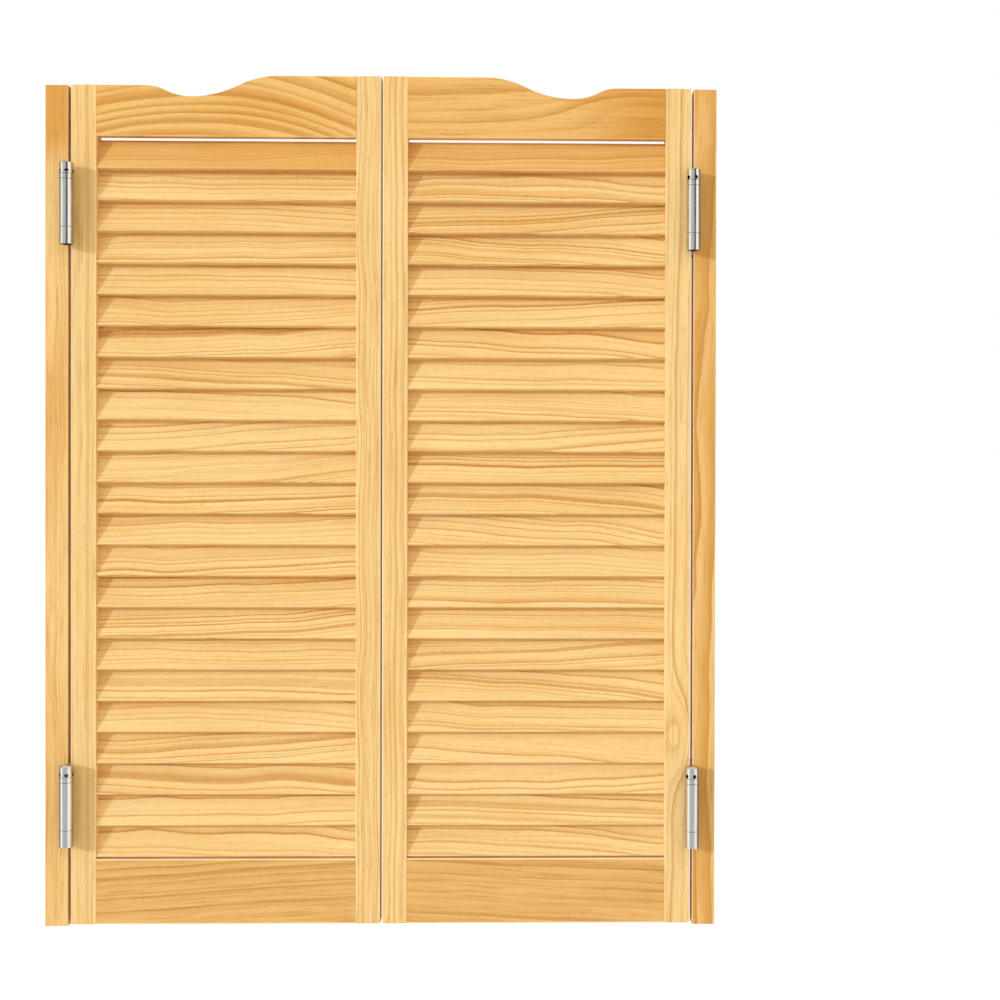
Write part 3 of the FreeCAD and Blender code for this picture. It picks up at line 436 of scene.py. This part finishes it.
def make_slats(side, seed):
    """One door's slats: the section carried along x, each slat with its own slight bow and twist.

    A slat's bow is half a sine wave from end to end, its twist a turn that grows in the same way,
    and both are nought at the ends, where the mortises hold it. The top slat is planed flat between
    the stiles, to clear the rail. The uppermost slats are warmer from one to the next.
    """
    draw = np.random.default_rng(seed)
    node = f"{side}_louvre_slats"
    low, high = (np.array(corner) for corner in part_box(node))
    outline = slat_outline()
    count = len(outline)
    free = np.linspace(low[0] + SLAT_END_HOLD, high[0] - SLAT_END_HOLD, SLAT_STATIONS - 2)
    along = np.concatenate([[low[0]], free, [high[0]]])[None, :, None]
    share = np.sin(np.pi * (along - low[0]) / (high[0] - low[0]))
    number = np.arange(SLAT_COUNT)
    height = (low[2] + high[2]) / 2 + SLAT_PITCH * (number - (SLAT_COUNT - 1) / 2)
    bow = draw.uniform(-MOST_BOW, MOST_BOW, SLAT_COUNT)[:, None, None]
    twist = draw.uniform(-MOST_TWIST, MOST_TWIST, SLAT_COUNT)[:, None, None]
    turn = SLAT_TILT + twist * share
    through = outline[:, 0] + bow * share
    across = outline[:, 1] + np.zeros_like(through)
    y = (low[1] + high[1]) / 2 + through * np.cos(turn) + across * np.sin(turn)
    z = -through * np.sin(turn) + across * np.cos(turn) + height[:, None, None]
    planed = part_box(f"{side}_top_rail")[0][2] - TOP_CLEARANCE
    z[-1, 1:-1] = np.minimum(z[-1, 1:-1], planed)
    x = along + np.zeros_like(y)
    base = (number * SLAT_STATIONS * count)[:, None, None] + (np.arange(SLAT_STATIONS - 1) * count)[:, None]
    here, there = base + np.arange(count), base + np.roll(np.arange(count), -1)
    walls = np.stack([here, there, there + count, here + count], 3).reshape(-1, 4)
    starts = (base[:, 0] + np.arange(count)[::-1]).tolist()
    ends = (base[:, -1] + count + np.arange(count)).tolist()
    mesh = bpy.data.meshes.new(f"{side}_slat_boards")
    mesh.from_pydata(np.stack([x, y, z], 3).reshape(-1, 3).tolist(), [], walls.tolist() + starts + ends)
    own = np.stack([x - low[0], across, np.broadcast_to(outline[:, 0], x.shape)], 3)
    give_attribute(mesh, "board_point", "FLOAT_VECTOR", own)
    warmer = np.maximum(0, number - (SLAT_COUNT - 1 - WARMER_SLATS))
    shade = draw.uniform(-MOST_SHADE, MOST_SHADE, SLAT_COUNT) + WARMER_STEP * warmer
    shade[-1] += TOP_SLAT_SHADE
    for name, numbers in (("board_seed", draw.uniform(0, 60, SLAT_COUNT)), ("board_shade", shade)):
        give_attribute(mesh, name, "FLOAT", np.repeat(numbers, SLAT_STATIONS * count))
    mesh.shade_smooth()
    mesh.set_sharp_from_angle(angle=SLAT_SHARP_ANGLE)
    slats = bpy.data.objects.new(f"{side}_slat_boards", mesh)
    bpy.context.scene.collection.objects.link(slats)
    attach(slats, f"{side}_door")
    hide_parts(node)
    return slats


def attribute(tree, name, output="Fac"):
    """Reads one of a mesh's own attributes."""
    node = tree.nodes.new("ShaderNodeAttribute")
    node.attribute_name = name
    return node.outputs[output]


def drawn(turn, low, high):
    """A fact from low to high that each slat draws for itself; turn tells the draws apart."""

    def fact(tree, seed):
        share = chance(tree, calc(tree, "ADD", seed, turn))
        return calc(tree, "MULTIPLY_ADD", share, high - low, low)

    return fact


def drawn_pith(across, through):
    """A slat's pith, from how far off it is across the face and how deep it is behind."""
    return lambda tree, seed: join(tree, 0.0, across(tree, seed), through(tree, seed))


slat_pine = pine(
    "pine_slats",
    lambda tree: attribute(tree, "board_point", "Vector"),
    lambda tree: attribute(tree, "board_seed"),
    SLAT_DEPTH / 2,
    SLAT_THICKNESS / 2,
    pith=drawn_pith(drawn(1.0, 0.026, 0.06), drawn(2.0, 0.012, 0.05)),
    lean=drawn(3.0, -0.03, 0.03),
    bow=drawn(4.0, -0.2, 0.2),
    ring=drawn(5.0, 0.0042, 0.0085),
    shade=lambda tree, seed: attribute(tree, "board_shade"),
    wander=0.014,
    band=0.75,
    line=0.95,
    hair=0.15,
    tone=1.2,
    edge=0.35,
)
for side, seed in (("left", 3), ("right", 8)):
    make_slats(side, seed).data.materials.append(slat_pine)

# ---------------------------------------------------------------------------------------------
# Dowels
# Turned beech pegs glued into the rails and stiles. They are out of sight once the door is
# together.

BEECH = {"pale": colour(226, 186, 140), "warm": colour(206, 160, 112), "dark": colour(176, 126, 82)}
for side in ("left", "right"):
    point, half_width, half_thickness = board_axes(f"{side}_dowels", "X")
    facts = {**BEECH, "ring": 0.002, "edge": 0.0}
    finish_node(f"{side}_dowels", pine(f"beech_{side}", point, 4.0, half_width, half_thickness, **facts))

# ---------------------------------------------------------------------------------------------
# Hinges
# Double-action spring hinges of satin nickel-plated steel: pressed leaves and webs rolled into
# knuckles, and turned collars with bar holes on top of the barrels.


def make_brushing():
    """Fine lines and faint clouds of a brushed and plated surface. Lines run across the stretch."""
    kinds = {"Point": "Vector", "Stretch": "Vector", "Seed": "Float"}
    tree, given, out = start_group("brushing", kinds, {"Line": "Float", "Cloud": "Float"})
    lines = tree.nodes.new("ShaderNodeTexNoise")
    feed(tree, lines.inputs["Vector"], move(tree, "MULTIPLY", given["Point"], given["Stretch"]))
    lines.inputs["Scale"].default_value = 1.0
    lines.inputs["Detail"].default_value = 3.0
    feed(tree, out["Line"], lines.outputs["Fac"])
    clouds = noise(tree, given["Point"], given["Seed"], (90.0, 90.0, 60.0), 3.0)
    feed(tree, out["Cloud"], clouds.outputs["Fac"])
    return tree


BRUSHING = make_brushing()
DULL_STEEL = colour(206, 204, 198)
# A dark steel tint: real grease on the spindles, and painted shade on the barrels and collars.
SHADE_AND_GREASE_STEEL = colour(44, 40, 36)


def metal(name, tint, smooth, rough, stretch, painted_shade=None):
    """Plated or bright steel. smooth and rough are the roughness of its cleanest and dullest spots.

    The last argument, where given, is the share of painted shade at a place: a dark tint on the
    plate where the metal lies in shade or mirrors shaded wood.
    """
    material = bpy.data.materials.new(name)
    material.use_nodes = True
    tree = material.node_tree
    surface = tree.nodes["Principled BSDF"]
    place = tree.nodes.new("ShaderNodeTexCoord").outputs["Object"]
    brushed = use_group(tree, BRUSHING, Point=place, Stretch=stretch, Seed=2.0)
    plate = blend(tree, rise(tree, brushed["Line"], 0.45, 0.85), tint, DULL_STEEL)
    # Painted shade: the plate is darkened towards the dark tint where the mask is.
    if painted_shade:
        plate = blend(tree, painted_shade(tree, place), plate, SHADE_AND_GREASE_STEEL)
    feed(tree, surface.inputs["Base Color"], plate)
    feed(tree, surface.inputs["Roughness"], rise(tree, brushed["Cloud"], 0.3, 0.7, smooth, rough))
    surface.inputs["Metallic"].default_value = 1.0
    bump = tree.nodes.new("ShaderNodeBump")
    bump.inputs["Strength"].default_value = 0.2
    bump.inputs["Distance"].default_value = 0.00004
    feed(tree, bump.inputs["Height"], brushed["Line"])
    feed(tree, surface.inputs["Normal"], bump.outputs["Normal"])
    return material


BARREL_FRONT = (0.0275, 0.0325)
BARREL_ROOT = (0.0165, 0.0185)
COLLAR_DOME = (-0.0036, -0.0032)
COLLAR_WALL = (0.0078, 0.0082)


def barrel_side_shade(tree, place):
    """Painted shade on the sides and the root of a barrel, where it mirrors shaded wood; none on its front.
    """
    out = calc(tree, "ABSOLUTE", split(tree, place)[1])
    side = rise(tree, out, *BARREL_FRONT, 1.0, 0.0)
    return calc(tree, "MULTIPLY", side, rise(tree, out, *BARREL_ROOT, 0.0, 0.5))


NICKEL = colour(246, 244, 238)
# The plate gets painted shade on the barrels' sides, where they mirror shaded wood.
plate_nickel = metal("satin_nickel_plate", NICKEL, 0.14, 0.22, (900.0, 900.0, 12.0), barrel_side_shade)
TURNED_LINES = (60.0, 60.0, 2400.0)
greased_steel = metal("greased_steel", SHADE_AND_GREASE_STEEL, 0.4, 0.5, TURNED_LINES)


def collar_painted_shade(node):
    """Painted shade on a collar's stem, in its bar holes and on its sides, and none on its dome."""
    low, high = (np.array(corner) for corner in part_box(node.replace("collar", "spindle")))
    axis = ((low + high) / 2).tolist()
    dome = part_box(node)[1][2]

    def share(tree, place):
        spread = split(tree, move(tree, "SUBTRACT", place, (axis[0], axis[1], dome)))
        under = rise(tree, spread[2], *COLLAR_DOME, 1.0, 0.0)
        inward = rise(tree, length(tree, spread[0], spread[1]), *COLLAR_WALL, 1.0, 0.0)
        return calc(tree, "MAXIMUM", calc(tree, "MULTIPLY", under, inward), barrel_side_shade(tree, place))

    return share


for node in frame["nodes"]:
    if node.endswith(("_web", "_leaf")):
        finish_node(node, plate_nickel)
    if node.endswith("_spindle"):
        finish_node(node, greased_steel)
    if node.endswith("_collar"):
        # Each collar gets painted shade in its bar holes and on its sides.
        finish_node(node, metal(f"nickel_{node}", NICKEL, 0.12, 0.2, TURNED_LINES, collar_painted_shade(node)))

# ---------------------------------------------------------------------------------------------
# Springs
# A coil of hard-drawn steel wire in each barrel, wound round the rod and held by the collar's pin.

SPRING_WIRE = 0.001
SPRING_PITCH = 0.0034
WIRE_SIDES = 8
STEPS_PER_TURN = 20
WIRE_SHARP_ANGLE = math.radians(50)
spring_steel = metal("drawn_spring_steel", colour(120, 118, 116), 0.3, 0.4, (500.0, 500.0, 500.0))


def make_spring(barrel, body):
    """A helix of round wire: a small circle carried up a large one, closed at both ends.

    The coil's centreline climbs one pitch a turn; the circle lies across the line's own direction.
    """
    low, high = (np.array(corner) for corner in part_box(f"{barrel}_spring"))
    middle = (low + high) / 2 * [1, 1, 0]
    radius = (high[0] - low[0]) / 2 - SPRING_WIRE
    turns = (high[2] - low[2] - 2 * SPRING_WIRE) / SPRING_PITCH
    angle = np.linspace(0, 2 * math.pi * turns, int(turns * STEPS_PER_TURN) + 1)
    flat = np.zeros_like(angle)
    out = np.stack([np.cos(angle), np.sin(angle), flat], 1)
    climb = np.stack([flat, flat, low[2] + SPRING_WIRE + SPRING_PITCH * angle / (2 * math.pi)], 1)
    slope = math.atan2(SPRING_PITCH, 2 * math.pi * radius)
    round_x, round_y = np.sin(angle), -np.cos(angle)
    up = np.stack([round_x * math.sin(slope), round_y * math.sin(slope), flat + math.cos(slope)], 1)
    spin = np.linspace(0, 2 * math.pi, WIRE_SIDES, endpoint=False)[:, None]
    circle = np.cos(spin) * out[:, None] + np.sin(spin) * up[:, None]
    places = (middle + radius * out + climb)[:, None] + SPRING_WIRE * circle
    base = (np.arange(len(angle) - 1) * WIRE_SIDES)[:, None]
    here, there = base + np.arange(WIRE_SIDES), base + np.roll(np.arange(WIRE_SIDES), -1)
    walls = np.stack([here, here + WIRE_SIDES, there + WIRE_SIDES, there], 2).reshape(-1, 4)
    caps = [here[0].tolist(), (here[-1] + WIRE_SIDES)[::-1].tolist()]
    mesh = bpy.data.meshes.new(f"{barrel}_coil")
    mesh.from_pydata(places.reshape(-1, 3).tolist(), [], walls.tolist() + caps)
    mesh.shade_smooth()
    mesh.set_sharp_from_angle(angle=WIRE_SHARP_ANGLE)
    mesh.materials.append(spring_steel)
    coil = bpy.data.objects.new(f"{barrel}_coil", mesh)
    bpy.context.scene.collection.objects.link(coil)
    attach(coil, body)
    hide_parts(f"{barrel}_spring")


for body, nodes in frame["record"]["behaviour"]["bodies"].items():
    for node in nodes:
        if node.endswith("_spring"):
            make_spring(node.removesuffix("_spring"), body)

# ---------------------------------------------------------------------------------------------
# Screws and stop pins
# Bright countersunk steel screws with a cross recess hold the leaves; a small pin in each collar
# stops it where the spring was set.

screw_steel = metal("bright_screw_steel", colour(224, 226, 228), 0.14, 0.24, (700.0, 700.0, 700.0))
pin_steel = metal("plain_pin_steel", colour(206, 206, 204), 0.25, 0.35, (700.0, 700.0, 700.0))
for node in frame["nodes"]:
    if node.endswith("_screws"):
        finish_node(node, screw_steel)
    if node.endswith("_pins"):
        finish_node(node, pin_steel)

# ---------------------------------------------------------------------------------------------
# Studio
# A pale floor well below the doors, white surroundings, one lamp from the upper left of the front
# and a greyer part of the room behind the camera, which the metal shows.

FLOOR_HEIGHT = -0.35
FLOOR_HALF = 30.0
FLOOR_GLOW = 0.5
corners = FLOOR_HALF * np.array([[-1, -1, 0], [1, -1, 0], [1, 1, 0], [-1, 1, 0]]) + [0, 0, FLOOR_HEIGHT]
floor_mesh = bpy.data.meshes.new("studio_floor")
floor_mesh.from_pydata(corners.tolist(), [], [(0, 1, 2, 3)])
pale_floor = bpy.data.materials.new("pale_floor")
pale_floor.use_nodes = True
tree = pale_floor.node_tree
surface = tree.nodes["Principled BSDF"]
surface.inputs["Base Color"].default_value = (0.8, 0.8, 0.8, 1.0)
surface.inputs["Roughness"].default_value = 0.9
surface.inputs["Specular IOR Level"].default_value = 0.0
surface.inputs["Emission Color"].default_value = (1.0, 1.0, 1.0, 1.0)
ray = tree.nodes.new("ShaderNodeLightPath").outputs
feed(tree, surface.inputs["Emission Strength"], calc(tree, "MULTIPLY", ray["Is Camera Ray"], FLOOR_GLOW))
feed(tree, surface.inputs["Alpha"], calc(tree, "SUBTRACT", 1.0, ray["Is Glossy Ray"]))
floor_mesh.materials.append(pale_floor)
floor = bpy.data.objects.new("studio_floor", floor_mesh)
bpy.context.scene.collection.objects.link(floor)

# The room: a warm fill for the wood; for the metal white sides, a grey middle and, above the
# horizon, a dark gap a little to the right of the middle. aside is the direction's x for each unit
# that it goes to the front, so that 1 is 45 degrees to the right.
FRONT_FILL = (0.98, 0.88, 0.72, 1.0)
BACK_FILL = (0.62, 0.59, 0.54, 1.0)
WHITE = (1.0, 1.0, 1.0, 1.0)
GREY_ROOM = (0.5, 0.5, 0.5, 1.0)
DARK_ROOM = (0.07, 0.07, 0.07, 1.0)
BESIDE_ROOM = (0.2, 0.17, 0.13, 1.0)
world = bpy.data.worlds.new("studio")
bpy.context.scene.world = world
world.use_nodes = True
tree = world.node_tree
background = tree.nodes["Background"]
way = split(tree, tree.nodes.new("ShaderNodeTexCoord").outputs["Generated"])
behind = rise(tree, way[1], -0.25, 0.25)
fill = blend(tree, behind, FRONT_FILL, BACK_FILL)
ahead = rise(tree, way[1], -0.2, -0.1, 1.0, 0.0)
aside = calc(tree, "DIVIDE", way[0], calc(tree, "MAXIMUM", calc(tree, "MULTIPLY", way[1], -1.0), 0.001))
grey = calc(tree, "MULTIPLY", rise(tree, aside, -1.4, -0.9), rise(tree, aside, 0.6, 1.0, 1.0, 0.0))
dark = calc(tree, "MULTIPLY", rise(tree, aside, 0.02, 0.2), rise(tree, aside, 0.62, 0.85, 1.0, 0.0))
dark = calc(tree, "MULTIPLY", dark, rise(tree, way[2], -0.05, 0.05))
shown = blend(tree, calc(tree, "MULTIPLY", grey, ahead), WHITE, GREY_ROOM)
shown = blend(tree, calc(tree, "MULTIPLY", dark, ahead), shown, DARK_ROOM)
beside = calc(tree, "MULTIPLY", rise(tree, way[1], -0.1, 0.05), rise(tree, way[1], 0.55, 0.7, 1.0, 0.0))
shown = blend(tree, beside, shown, BESIDE_ROOM)
ray = tree.nodes.new("ShaderNodeLightPath").outputs
lit = blend(tree, ray["Is Glossy Ray"], fill, shown)
feed(tree, background.inputs["Color"], blend(tree, ray["Is Camera Ray"], lit, WHITE))
background.inputs["Strength"].default_value = 1.0

KEY_TRAVEL = (1.0, 0.70, -0.30)
KEY_POWER = 1.4
KEY_TINT = (0.8, 1.0, 1.3)
KEY_SPREAD = math.radians(4.5)
lamp = bpy.data.lights.new("key", "SUN")
lamp.energy = KEY_POWER
lamp.color = KEY_TINT
lamp.angle = KEY_SPREAD
key = bpy.data.objects.new("key", lamp)
bpy.context.scene.collection.objects.link(key)
key.rotation_euler = Vector(KEY_TRAVEL).to_track_quat("-Z", "Y").to_euler()
key.visible_glossy = False

CAMERA_PLACE = (0.165, -2.0, 0.5489)
CAMERA_YAW = 0.0199
CAMERA_PITCH = -0.0062
CAMERA_ROLL = 0.0022
CAMERA_SHIFT = -0.0441
FOCAL_PIXELS = 1575.5
FRAME_PIXELS = 1000
lens = bpy.data.cameras.new("camera")
lens.sensor_width = 36.0
lens.lens = lens.sensor_width * FOCAL_PIXELS / FRAME_PIXELS
lens.shift_x = CAMERA_SHIFT
lens.clip_end = 200.0
camera = bpy.data.objects.new("camera", lens)
bpy.context.scene.collection.objects.link(camera)
camera.location = CAMERA_PLACE
camera.rotation_euler = (math.pi / 2 + CAMERA_PITCH, -CAMERA_ROLL, -CAMERA_YAW)
bpy.context.scene.camera = camera
bpy.context.scene.view_settings.view_transform = "Standard"
